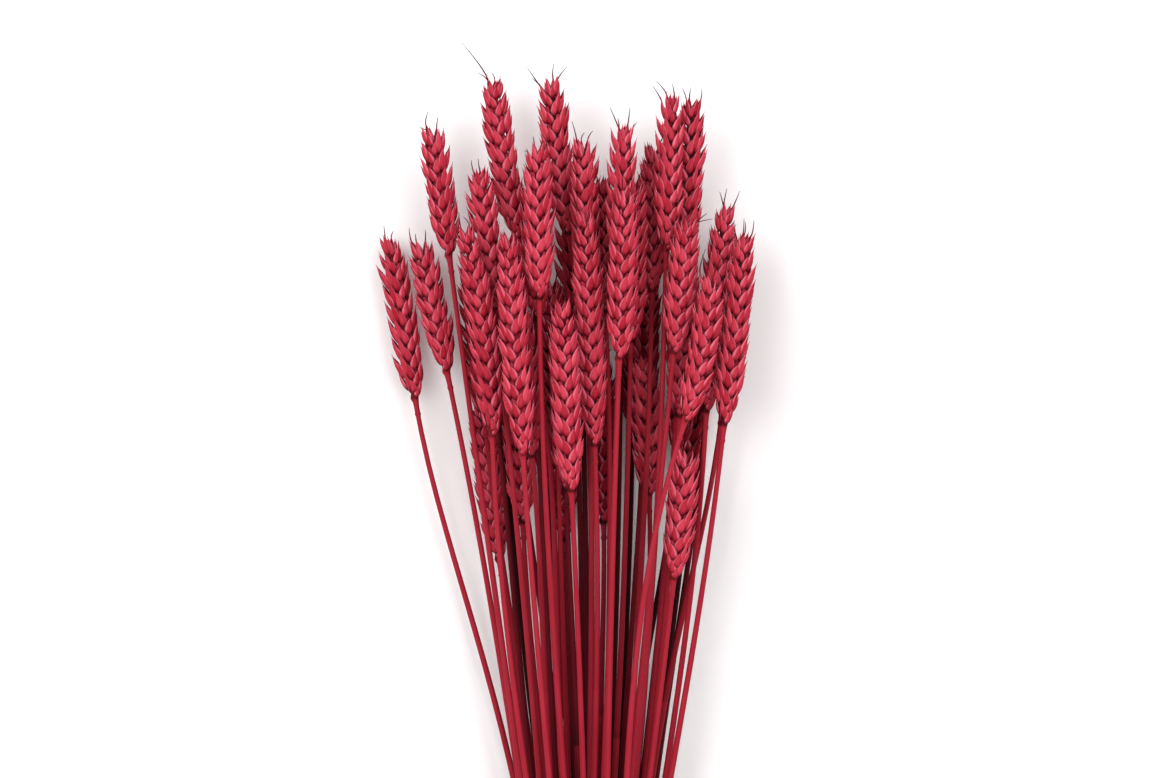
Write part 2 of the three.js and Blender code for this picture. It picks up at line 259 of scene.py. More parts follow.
@dataclass(frozen=True)
class HuskFinish:
    """Dyed husk: satin, finely veined, lighter at its thin edges and darker at its point."""

    # deep is a painted shade colour: it darkens the root crease and inner face of each husk, and
    # the husks of the hidden stalks.
    deep: Colour = dye(84, 0, 10)
    middle: Colour = dye(160, 24, 45)
    bright: Colour = dye(203, 72, 91)
    edge: Colour = dye(234, 136, 154)
    point: Colour = dye(70, 14, 22)
    veins: float = 26.0
    mottle_scale: float = 420.0
    blotch_scale: float = 90.0
    gloss: float = 0.1
    relief: float = 0.00009

    def build(self) -> Material:
        """Makes the material.

        Returns:
            The material.
        """
        graph = Graph("dyed_husk")
        grain = graph.grain()
        tone = graph.tone()
        across, outer, along = graph.parts(grain)
        place = graph.place()

        mottle = graph.noise(place, self.mottle_scale, 3.0, 0.6)
        blotch = graph.noise(place, self.blotch_scale)
        shade = (tone * 0.75 + mottle * 0.35 + blotch * 0.35 - 0.2).clamped()
        body = graph.mix(shade, self.middle, self.bright)
        # Painted shade: the husks of the hidden stalks, whose tone falls below 0, are darkened
        # towards deep.
        body = graph.mix((0.0 - tone).clamped() * 0.9, body, self.deep)
        # Painted shade in the crease at the root of each husk.
        root_painted_shade = 1.0 - along.ramped(0.02, 0.36)
        body = graph.mix(root_painted_shade * 0.85, body, self.deep)
        # Painted shade on the inner face of each husk, which turns in towards the spikelet.
        body = graph.mix((0.0 - outer).clamped() * 0.6, body, self.deep)
        margin = graph.math("ABSOLUTE", across).ramped(0.62, 0.96)
        body = graph.mix(margin * along.ramped(0.1, 0.4) * 0.7, body, self.edge)
        tip = along.ramped(0.86, 0.99)
        body = graph.mix(tip * 0.75, body, self.point)

        streak = graph.noise(graph.stretched(grain, (self.veins, 3.0, 1.1)), 1.0, 2.0, 0.6)
        ribs = ((across * self.veins).sine() * 0.5 + 0.5) * 0.5 + streak * 0.6
        rough = 0.46 + mottle * 0.16 + streak * 0.08
        normal = graph.bump(ribs + mottle * 0.3, self.relief, 0.7)
        return graph.surface(
            {"Specular IOR Level": self.gloss},
            {"Base Color": body, "Roughness": rough, "Normal": normal},
        )


@dataclass(frozen=True)
class StrawFinish:
    """Dyed straw: a smooth ribbed stalk, streaked lengthwise, duller than the husks."""

    # deep is the darkest straw colour, and the colour of the straw's painted shade.
    deep: Colour = dye(52, 0, 8)
    middle: Colour = dye(142, 21, 39)
    bright: Colour = dye(182, 56, 73)
    gloss: float = 0.1
    relief: float = 0.0001

    def build(self) -> Material:
        """Makes the material.

        Returns:
            The material.
        """
        graph = Graph("dyed_stem")
        grain = graph.grain()
        tone = graph.tone()
        fibre = graph.noise(graph.stretched(grain, (5.0, 5.0, 0.02)), 1.0, 3.0, 0.6)
        fine = graph.noise(graph.stretched(grain, (14.0, 14.0, 0.05)), 1.0, 2.0, 0.6)
        patch = graph.noise(graph.stretched(grain, (0.6, 0.6, 0.03)), 1.0)
        shade = (tone * 0.6 + fibre * 0.5 + patch * 0.5 - 0.35).clamped()
        body = graph.mix(shade, self.middle, self.bright)
        # Darker where the tone falls low: towards the awn tips, a little at random, and as painted
        # shade on the hidden stalks, in the rachis and beside the collar.
        body = graph.mix((0.35 - tone).ramped(0.0, 0.5), body, self.deep)
        rough = 0.42 + fine * 0.2
        normal = graph.bump(fine * 0.6 + fibre * 0.6, self.relief, 0.7)
        return graph.surface(
            {"Specular IOR Level": self.gloss},
            {"Base Color": body, "Roughness": rough, "Normal": normal},
        )


@dataclass(frozen=True)
class CutFinish:
    """The inside of a cut straw, where the dye has reached only part of the pale pith."""

    pith: Colour = dye(226, 168, 150)
    dyed: Colour = dye(170, 52, 66)
    gloss: float = 0.25
    pores: float = 900.0

    def build(self) -> Material:
        """Makes the material.

        Returns:
            The material.
        """
        graph = Graph("cut_straw")
        place = graph.place()
        patch = graph.noise(place, self.pores, 3.0, 0.6)
        body = graph.mix(patch.ramped(0.35, 0.65), self.pith, self.dyed)
        return graph.surface(
            {"Specular IOR Level": self.gloss},
            {"Base Color": body, "Roughness": 0.75 + patch * 0.15},
        )


@dataclass(frozen=True)
class TwineFinish:
    """Undyed jute twine: fine fibres that run with the strands, tan with darker flecks."""

    pale: Colour = dye(214, 182, 134)
    brown: Colour = dye(176, 138, 92)
    fleck: Colour = dye(110, 78, 48)
    gloss: float = 0.2
    fuzz: float = 0.25
    relief: float = 0.00018

    def build(self) -> Material:
        """Makes the material.

        Returns:
            The material.
        """
        graph = Graph("jute_twine")
        grain = graph.grain()
        tone = graph.tone()
        fibre = graph.noise(graph.stretched(grain, (4.0, 4.0, 0.9)), 1.0, 4.0, 0.7)
        fine = graph.noise(graph.stretched(grain, (11.0, 11.0, 1.6)), 1.0, 3.0, 0.7)
        body = graph.mix((fibre * 0.8 + tone * 0.3).clamped(), self.brown, self.pale)
        body = graph.mix(fine.ramped(0.52, 0.7) * 0.75, body, self.fleck)
        normal = graph.bump(fine + fibre, self.relief, 0.9)
        return graph.surface(
            {"Specular IOR Level": self.gloss, "Sheen Weight": self.fuzz, "Sheen Roughness": 0.6},
            {"Base Color": body, "Roughness": 0.8 + fine * 0.15, "Normal": normal},
        )


@dataclass(frozen=True)
class FloorFinish:
    """A plain pale floor."""

    tint: Colour = dye(250, 250, 250)
    gloss: float = 0.05

    def build(self) -> Material:
        """Makes the material.

        Returns:
            The material.
        """
        graph = Graph("pale_floor")
        grit = graph.noise(graph.place(), 3.0)
        return graph.surface(
            {"Base Color": self.tint, "Specular IOR Level": self.gloss},
            {"Roughness": 0.85 + grit * 0.1},
        )


class Finishes:
    """Every finish, made once and shared."""

    def __init__(self) -> None:
        """Makes the materials."""
        self.husk = HuskFinish().build()
        self.straw = StrawFinish().build()
        self.cut = CutFinish().build()
        self.twine = TwineFinish().build()
        self.floor = FloorFinish().build()


# ---- the layout of the stalks

Point = tuple[float, float]


@dataclass(frozen=True)
class Stalk:
    """How one stalk lies, in mm from the middle of the waist, and in degrees.

    tip and neck are the two ends of the ear. turn rolls the ear about its own axis, and twist
    is how much more it is rolled at its top than at its base. bow bends the stem sideways and
    bend the ear. awns are the ends of the awns at its top. The last field is painted shade:
    how much darker the stalk is made because it lies hidden low in the bunch.
    """

    tip: Point
    neck: Point
    turn: float
    bow: float = 0.0
    bend: float = 0.0
    twist: float = 0.0
    awns: tuple[Point, ...] = ()
    painted_shade: float = 0.0


# Row by row from the surface up, and from left to right in each row.
# Stalks that lie hidden low in the bunch are darkened with painted shade, more the lower they lie.
ROWS: tuple[tuple[Stalk, ...], ...] = ((
    Stalk((-45, 372), (-39, 296), 20, painted_shade=0.6),
    Stalk((-15, 340), (-13, 262), -16, bow=1, painted_shade=0.6),
    Stalk((-5, 415), (-4.5, 342), 8, bow=1, painted_shade=0.6),
    Stalk((19, 385), (18, 312), 12, painted_shade=0.6),
    Stalk((49, 360), (43, 285), -20, bow=-1, painted_shade=0.6),
), (
    Stalk((-92.7, 404), (-80, 326), 24, bow=8, awns=((-94.7, 407.2), (-90.3, 404.6))),
    Stalk((-51.8, 330), (-42, 253), -14),
    Stalk((-38, 400), (-35, 330), 10, bow=6, painted_shade=0.5),
    Stalk((-22, 355), (-19, 282), 20, bow=1, painted_shade=0.5),
    Stalk((4, 350), (5, 270), -12, bow=-2, painted_shade=0.5),
    Stalk((25, 392), (23, 318), 15, bow=-2, painted_shade=0.5),
    Stalk((43, 372), (38, 300), -25, bow=-8, painted_shade=0.5),
), (
    Stalk((-78.8, 402), (-65.3, 338), -18, awns=((-83.2, 406), (-80.2, 403.1), (-75.7, 405))),
    Stalk((-56, 392), (-48.5, 316), 14, bow=2, painted_shade=0.4),
    Stalk((-34.7, 333), (-31.5, 270), 10),
    Stalk((-11, 418), (-8, 343), 25, painted_shade=0.4),
    Stalk((13, 418), (12.5, 345), -8, bow=0.5, painted_shade=0.4),
    Stalk((23, 350.6), (25.5, 282), 18),
    Stalk((41, 405), (38, 330), -15, bow=-1, painted_shade=0.4),
    Stalk((57, 395), (51, 320), 12, bow=-3, painted_shade=0.4),
), (
    Stalk((-72.9, 453.2), (-64.4, 390.2), -26, twist=-20,
          awns=((-74.3, 458.3), (-69.8, 455.7), (-78.3, 450.9))),
    Stalk((-52, 398), (-42.5, 312), -10, bow=-2, painted_shade=0.3),
    Stalk((-45.5, 474.3), (-32.9, 397.8), 8, bow=-4, bend=-1.5,
          awns=((-59, 489), (-51.8, 475.4), (-45.5, 475.5), (-41.4, 472.5))),
    Stalk((-18.6, 385), (-16, 305), -8, bow=-1, painted_shade=0.3),
    Stalk((-19.4, 475.2), (-10.4, 400.1), -8, bow=-2.5, bend=-1,
          awns=((-29.5, 477.7), (-27.6, 473.2), (-17.6, 479.9), (-11.6, 478.4))),
    Stalk((3.2, 430.7), (5.9, 365), 10),
    Stalk((27.9, 445), (26.6, 374), -16),
    Stalk((44.6, 466.2), (41.4, 388.8), -15, awns=((40.2, 468.7), (43.9, 469.1), (49, 468.3))),
    Stalk((66, 405), (58, 322), -8, bow=-9, painted_shade=0.25),
), (
    Stalk((-51.8, 433.4), (-44.1, 366), 22, awns=((-54.7, 435.9), (-51.6, 436.6), (-55.8, 427.1))),
    Stalk((-26.5, 436), (-25.5, 362), 8, painted_shade=0.25),
    Stalk((-13.8, 361), (-11.8, 285), -12, bow=2, painted_shade=0.25),
    Stalk((-4.5, 447.3), (-2.3, 377.6), -26, awns=((-9.4, 453.4), (-3.7, 448.2), (0, 449))),
    Stalk((19, 430), (17, 352), 12, bow=1, painted_shade=0.15),
    Stalk((35.1, 467.6), (32.9, 392), 38, bow=2.5, twist=22,
          awns=((28.2, 471.7), (26.9, 469.1), (35.7, 470.2))),
    Stalk((42.6, 392), (38.5, 318), -10, bow=1),
    Stalk((60.8, 418), (50.9, 320), 15, bend=-1.2,
          awns=((57, 421.7), (60.3, 423.2), (66.1, 422.1))),
), (
    Stalk((-58.5, 408.6), (-45, 308.7), 10, bend=2.5, twist=-40,
          awns=((-60.3, 412.5), (-58.1, 410.2))),
    Stalk((-34.5, 380), (-27, 300), -16, bow=-3),
    Stalk((-3.6, 415.8), (0.9, 304.7), -6),
    Stalk((13.5, 453.2), (12.2, 386), 34,
          awns=((7.7, 459), (11.2, 454.2), (16.6, 459), (19.6, 452.3))),
    Stalk((42.8, 411.8), (36, 346), 10, awns=((51.2, 411.8), (53.6, 409.3), (39.4, 411.3))),
    Stalk((42.8, 307.8), (36, 244.8), -10),
    Stalk((68.4, 404.6), (58.5, 314.1), 20, awns=((67.8, 409.5), (72.3, 408.7))),
), (
    Stalk((-38.3, 405.5), (-31.1, 300.2), -12, awns=((-37.9, 412.5), (-33.3, 400.1))),
    Stalk((-24.8, 444.6), (-23.9, 370.4), -8,
          awns=((-26.7, 445.9), (-30.4, 438.9), (-21.6, 444.2))),
    Stalk((-14.4, 374.9), (-9.5, 284.4), 6, awns=((-14.2, 379.4),)),
    Stalk((14.9, 424.4), (11.7, 343.4), -10, awns=((13.1, 428.9), (17.6, 427.9))),
    Stalk((52.7, 385.7), (40.1, 315.5), 18, bend=2.5,
          awns=((50.4, 395.6), (54, 400.9), (58.1, 392.9))),
))


@dataclass(frozen=True)
class Waist:
    """Where the tie draws the stems together in level rows, and how the rows rise from it."""

    seat_pitch: float = 3.4
    row_pitch: float = 3.35
    bend: float = 20.0
    centre: float = 15.45
    tail_length: float = 118.0
    tail_spread: float = 0.55
    ear_row_pitch: float = 13.4
    ear_rest: float = 4.6
    fan_end: float = 360.0
    arch_drop: float = 0.13
    arch_half: float = 70.0
    wave_height: float = 1.3
    wave_length: float = 6.5
    wave_step: float = 2.4

    @property
    def lowest(self) -> float:
        """The height of the lowest row at the tie."""
        return self.centre - (len(ROWS) - 1) * self.row_pitch / 2

    def spread(self, y: float) -> float:
        """Distance travelled outwards at a distance y from the tie."""
        return hypot(y, self.bend) - self.bend

    def ear_height(self, row: int, x: float) -> float:
        """The height at which an ear of a row lies.

        Args:
            row: The row, from the surface up.
            x: The distance from the middle.

        Returns:
            The height of the ear's axis.
        """
        arch = 1 - self.arch_drop * (x / self.arch_half) ** 2
        wave = self.wave_height * sin(x / self.wave_length + self.wave_step * row)
        return self.ear_rest + row * self.ear_row_pitch * arch + (wave if row else 0.0)


WAIST = Waist()


class GrowthLine:
    """The line that a stalk grows along, as the frame's solids have it."""

    def __init__(self, stalk: Stalk, row: int, seat: int, seats: int) -> None:
        """Works out what the line keeps.

        Args:
            stalk: How the stalk lies.
            row: Its row, from the surface up.
            seat: Its place in the row, from the left.
            seats: How many stalks the row has.
        """
        self.stalk, self.row = stalk, row
        self.seat_x = (seat - (seats - 1) / 2) * WAIST.seat_pitch
        self.seat_z = WAIST.lowest + row * WAIST.row_pitch
        (neck_x, neck_y), (tip_x, tip_y) = stalk.neck, stalk.tip
        self.reach = neck_x - self.seat_x
        slope = (tip_x - neck_x + 4 * stalk.bend) / (tip_y - neck_y)
        self.neck_spread = WAIST.spread(neck_y)
        self.slope = slope * self.neck_spread * hypot(neck_y, WAIST.bend) / neck_y

    def at(self, y: float) -> Vector:
        """A point of the line.

        Args:
            y: The distance from the tie.

        Returns:
            The point.
        """
        stalk = self.stalk
        if y < 0:
            part = WAIST.tail_spread * WAIST.spread(y) / WAIST.spread(WAIST.tail_length)
            rise = (self.seat_z - WAIST.lowest) * part
            return Vector((self.seat_x * (1 + part), y, self.seat_z + rise))
        (neck_x, neck_y), (tip_x, tip_y) = stalk.neck, stalk.tip
        if y > neck_y:
            part = (y - neck_y) / (tip_y - neck_y)
            x = neck_x + (tip_x - neck_x) * part + 4 * stalk.bend * part * (1 - part)
        else:
            u = WAIST.spread(y) / self.neck_spread
            x = self.seat_x + self.reach * u + (self.slope - self.reach) * (u**3 - u**2)
            x += 16 * stalk.bow * (u * (1 - u)) ** 2
        share = min(1.0, WAIST.spread(y) / WAIST.spread(WAIST.fan_end))
        fan = sin(pi / 2 * share)
        z = self.seat_z + (WAIST.ear_height(self.row, x) - self.seat_z) * fan
        return Vector((x, y, z))

    def heading(self, y: float) -> Vector:
        """The line's direction at a distance y from the tie."""
        return (self.at(y + 1) - self.at(y - 1)).normalized()


def axes_along(along: Vector, roll: float) -> tuple[Vector, Vector]:
    """Directions that go with an axis.

    Args:
        along: The axis.
        roll: The turn about it, in radians.

    Returns:
        The side and the face: across the axis, and up out of the bunch, both rolled.
    """
    face = (UP - along * UP.dot(along)).normalized()
    face = Matrix.Rotation(roll, 3, along) @ face
    return along.cross(face), face


# ---- skins along a line


@dataclass(frozen=True)
class Ring:
    """One ring of a skin: its middle, its heading, its radii and what the skin wears there."""

    middle: Vector
    heading: Vector
    width: float
    depth: float
    mark: float = 0.0
    tone: float = 0.5
    slot: int = 0
    roll: float = 0.0

    def matrix(self) -> Matrix:
        """The transform from a circle of radius 1 to this ring."""
        side, face = axes_along(self.heading, self.roll)
        columns = Matrix((side * self.width, face * self.depth, self.heading)).transposed()
        return Matrix.Translation(self.middle) @ columns.to_4x4()

# What lies this low is pressed softly against the surface, in mm.
PRESSED_BELOW = 2.5
PRESSED_SOFT = 0.5


def frame_from_layout() -> Matrix:
    """The transform from the layout, in mm from the middle of the waist, to the frame."""
    low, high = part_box("tie")
    half_tie = 5.0 * MM
    origin = Vector(((low.x + high.x) / 2, high.y - half_tie, 0.0))
    return Matrix.Translation(origin) @ Matrix.Scale(MM, 4)


@dataclass
class Body:
    """A mesh being made, with what its surface carries: the grain and the tone."""

    mesh: BMesh = field(default_factory=bmesh.new)

    def __post_init__(self) -> None:
        """Adds the layers."""
        self.grain = self.mesh.verts.layers.float_vector.new("grain")
        self.tone = self.mesh.verts.layers.float.new("tone")

    def skin(self, rings: Sequence[Ring], sides: int) -> None:
        """Extrudes a circle from ring to ring, and closes its two ends.

        Args:
            rings: The rings, first to last.
            sides: How many sides the skin has.
        """
        mesh = self.mesh
        verts = bmesh.ops.create_circle(mesh, cap_ends=False, segments=sides, radius=1.0)["verts"]
        for vert in verts:
            vert[self.grain] = vert.co
        edges = list(dict.fromkeys(edge for vert in verts for edge in vert.link_edges))
        first_edges, faces = list(edges), []
        was = Matrix.Identity(4)
        for index, ring in enumerate(rings):
            if index:
                made = bmesh.ops.extrude_edge_only(mesh, edges=edges)["geom"]
                verts = [item for item in made if isinstance(item, BMVert)]
                edges = [item for item in made if isinstance(item, BMEdge)]
                new_faces = [item for item in made if isinstance(item, BMFace)]
                for face in new_faces:
                    face.material_index = ring.slot
                faces += new_faces
                kept = set(verts)
                edges = [edge for edge in edges if kept.issuperset(edge.verts)]
            now = ring.matrix()
            bmesh.ops.transform(mesh, matrix=now @ was.inverted(), verts=verts)
            was = now
            for vert in verts:
                place = vert[self.grain]
                vert[self.grain] = Vector((place.x, place.y, ring.mark))
                vert[self.tone] = ring.tone
        for loop, slot in ((first_edges, rings[0].slot), (edges, rings[-1].slot)):
            caps = bmesh.ops.edgeloop_fill(mesh, edges=loop)["faces"]
            for cap in caps:
                cap.material_index = slot
            faces += caps
        bmesh.ops.recalc_face_normals(mesh, faces=faces)

    def stamp(self, shape: Mesh, place: Matrix, tone: float, slot: int) -> None:
        """Adds a copy of a shape.

        Args:
            shape: The shape.
            place: Its transform.
            tone: How light it is, from 0 to 1.
            slot: The finish that it wears.
        """
        mesh = self.mesh
        verts_before, faces_before = len(mesh.verts), len(mesh.faces)
        mesh.from_mesh(shape)
        mesh.verts.ensure_lookup_table()
        mesh.faces.ensure_lookup_table()
        added = mesh.verts[verts_before:]
        bmesh.ops.transform(mesh, matrix=place, verts=added)
        for vert in added:
            vert[self.tone] = tone
        for face in mesh.faces[faces_before:]:
            face.material_index = slot

    def finish(self, name: str, materials: Sequence[Material]) -> Object:
        """Turns the mesh into a piece, in metres, in its place in the frame.

        Args:
            name: The piece's name.
            materials: Its finishes, by slot number.

        Returns:
            The piece.
        """
        for vert in self.mesh.verts:
            if vert.co.z < PRESSED_BELOW:
                vert.co.z = (vert.co.z + hypot(vert.co.z, PRESSED_SOFT)) / 2
        bmesh.ops.transform(self.mesh, matrix=frame_from_layout(), verts=self.mesh.verts)
        for face in self.mesh.faces:
            face.smooth = True
        data = bpy.data.meshes.new(name)
        self.mesh.to_mesh(data)
        self.mesh.free()
        for material in materials:
            data.materials.append(material)
        return placed(name, data)


# ---- husks


@dataclass(frozen=True)
class HuskForm:
    """A husk's form: a boat-shaped scale with a plump back and a point.

    At its stations, outline is a share of its half width, and back a share of its depth.
    """

    stations: tuple[float, ...]
    outline: tuple[float, ...]
    back: tuple[float, ...]
    belly: float = 0.22
    wrap: float = 0.45
    hook: float = 0.1
    keel: float = 0.1
    keel_column: float = -15.0
    columns: tuple[float, ...] = (-90.0, -55.0, -15.0, 25.0, 60.0, 90.0, 150.0, 210.0)

    def build(self, name: str) -> Mesh:
        """Makes the shape: 1 long along +Z, 1 half wide along X, and 1 deep along +Y.

        Args:
            name: The shape's name.

        Returns:
            The shape.
        """
        shape = bmesh.new()
        grain = shape.verts.layers.float_vector.new("grain")
        shape.verts.layers.float.new("tone")
        columns, levels = len(self.columns), len(self.stations) - 1
        bmesh.ops.create_uvsphere(shape, u_segments=columns, v_segments=levels, radius=1.0)
        for vert in shape.verts:
            level = round(acos(max(-1.0, min(1.0, -vert.co.z))) / pi * levels)
            turn = atan2(vert.co.y, vert.co.x) / (2 * pi)
            column = round(turn * columns) % columns
            vert.co, vert[grain] = self._placed(level, column)
        bmesh.ops.recalc_face_normals(shape, faces=shape.faces)
        data = bpy.data.meshes.new(name)
        shape.to_mesh(data)
        shape.free()
        return data

    def _placed(self, level: int, column: int) -> tuple[Vector, Vector]:
        """Works out a corner of the husk.

        Args:
            level: Its station, from the root up.
            column: Its column, round the husk.

        Returns:
            Where it stands, and its grain.
        """
        t = self.stations[level]
        half, depth = self.outline[level], self.back[level]
        angle = radians(self.columns[column])
        across, outward = sin(angle), cos(angle)
        y = depth * (outward if outward > 0 else outward * self.belly)
        y -= self.wrap * half * across * across * (1.0 if outward > -0.01 else 0.55)
        if self.columns[column] == self.keel_column:
            y += self.keel * depth * min(1.0, t * 1.6)
        y += self.hook * (t**3) - 0.5 * self.hook * t
        grain = Vector((across, 1.0 if outward > 0 else -1.0, t))
        return Vector((half * across, y, t)), grain


class HuskKind(Enum):
    """The kinds of husk in an ear."""

    GLUME = "glume"
    LEMMA = "lemma"
    SLIM = "slim"


GLUME, LEMMA, SLIM = HuskKind

HUSK_FORMS: dict[HuskKind, HuskForm] = {
    GLUME: HuskForm(
        stations=(0.0, 0.05, 0.15, 0.29, 0.45, 0.62, 0.77, 0.89, 1.0),
        outline=(0.0, 0.46, 0.82, 0.99, 1.0, 0.85, 0.52, 0.17, 0.0),
        back=(0.0, 0.5, 0.86, 1.0, 0.98, 0.8, 0.5, 0.2, 0.0),
        hook=0.1,
    ),
    LEMMA: HuskForm(
        stations=(0.0, 0.06, 0.18, 0.33, 0.48, 0.62, 0.75, 0.86, 1.0),
        outline=(0.0, 0.4, 0.78, 0.98, 0.97, 0.78, 0.44, 0.13, 0.0),
        back=(0.0, 0.46, 0.84, 1.0, 0.96, 0.74, 0.42, 0.16, 0.0),
        hook=0.16,
        keel=0.14,
    ),
    SLIM: HuskForm(
        stations=(0.0, 0.07, 0.2, 0.35, 0.5, 0.64, 0.76, 0.87, 1.0),
        outline=(0.0, 0.36, 0.74, 0.97, 0.95, 0.72, 0.4, 0.12, 0.0),
        back=(0.0, 0.44, 0.82, 1.0, 0.94, 0.7, 0.38, 0.14, 0.0),
        hook=0.14,
        keel=0.12,
    ),
}


@dataclass(frozen=True)
class HuskPlace:
    """Where a husk stands in its spikelet, in mm and degrees.

    up, out and front place its root along the spikelet, away from the rachis and towards the
    ear's face. lean and splay tip it away from the rachis and towards the face. facing is the
    way its back looks: 0 away from the rachis, 90 to the face.
    """

    kind: HuskKind
    up: float
    out: float
    front: float
    lean: float
    splay: float
    facing: float
    length: float
    half_width: float
    depth: float


# One spikelet: its two glumes, and the florets that look out from between them.
SPIKELET: tuple[HuskPlace, ...] = (
    HuskPlace(GLUME, -0.3, -0.75, 1.9, 3.5, 6.0, 62.0, 8.9, 2.2, 1.5),
    HuskPlace(GLUME, -0.3, -0.75, -1.9, 3.5, -6.0, -62.0, 8.9, 2.2, 1.5),
    HuskPlace(LEMMA, 1.2, 0.9, 1.6, 4.0, 6.0, 50.0, 13.4, 1.5, 1.3),
    HuskPlace(LEMMA, 2.0, 1.2, -1.4, 5.0, -5.0, -40.0, 13.2, 1.7, 1.4),
    HuskPlace(LEMMA, 1.0, 1.9, 1.0, 8.5, 4.0, 28.0, 10.4, 1.5, 1.2),
    HuskPlace(SLIM, 1.4, 2.0, -0.4, 7.5, -2.0, 0.0, 11.6, 1.5, 1.2),
    HuskPlace(SLIM, 0.2, 0.2, 0.2, -6.0, 0.0, 88.0, 12.0, 2.7, 1.1),
)

# The top spikelet closes the ear between its ranks.
TOP_SPIKELET: tuple[HuskPlace, ...] = (
    HuskPlace(LEMMA, 0.0, 0.2, 1.1, 0.0, 11.0, 75.0, 10.8, 1.35, 1.2),
    HuskPlace(LEMMA, 0.0, 0.2, -1.1, 0.0, -11.0, -75.0, 10.8, 1.35, 1.2),
    HuskPlace(LEMMA, 1.2, 0.9, 0.8, 5.0, 6.0, 30.0, 11.2, 1.5, 1.2),
    HuskPlace(LEMMA, 1.2, -0.9, -0.8, -5.0, -6.0, 210.0, 11.2, 1.5, 1.2),
    HuskPlace(SLIM, 2.0, 0.5, -0.9, 2.0, -6.0, -20.0, 10.6, 1.35, 1.1),
)


# ---- one stalk

# The slots of a stalk's finishes.
HUSK, STRAW, CUT = range(3)

# How the straw swells, ring by ring: how far along, how wide, and how much lighter.
Swelling = tuple[tuple[float, float, float], ...]
NODE: Swelling = (
    (-2.2, 1.0, 0.0), (-1.0, 1.1, -0.08), (0.0, 1.15, -0.2), (1.0, 1.08, -0.15), (2.4, 1.0, 0.0),
)
SHEATH_EDGE: Swelling = ((-0.4, 1.0, 0.08), (0.4, 1.0, -0.08))
# The collar under the ear is painted lighter on its bulge, a painted highlight, and darker just
# below and above it, painted shade.
COLLAR: Swelling = (
    (-1.2, 1.0, 0.0), (-0.3, 1.12, -0.1), (0.2, 1.36, 0.08), (0.6, 1.18, -0.12), (1.6, 1.08, 0.0),
)
NECK: Swelling = ((-1.0, 1.12, 0.0), (1.0, 1.25, 0.0))

# The cut end, from inside the bore over the rim: how far along, how wide, and its slot.
CUT_END = ((5.0, 0.62, CUT), (0.05, 0.62, CUT), (0.0, 0.94, CUT), (0.25, 1.0, STRAW))


def eased(value: float, start: float, span: float) -> float:
    """How far a value is past a start, from 0 to 1 at the end of the span."""
    return min(1.0, max(0.0, value - start) / span)


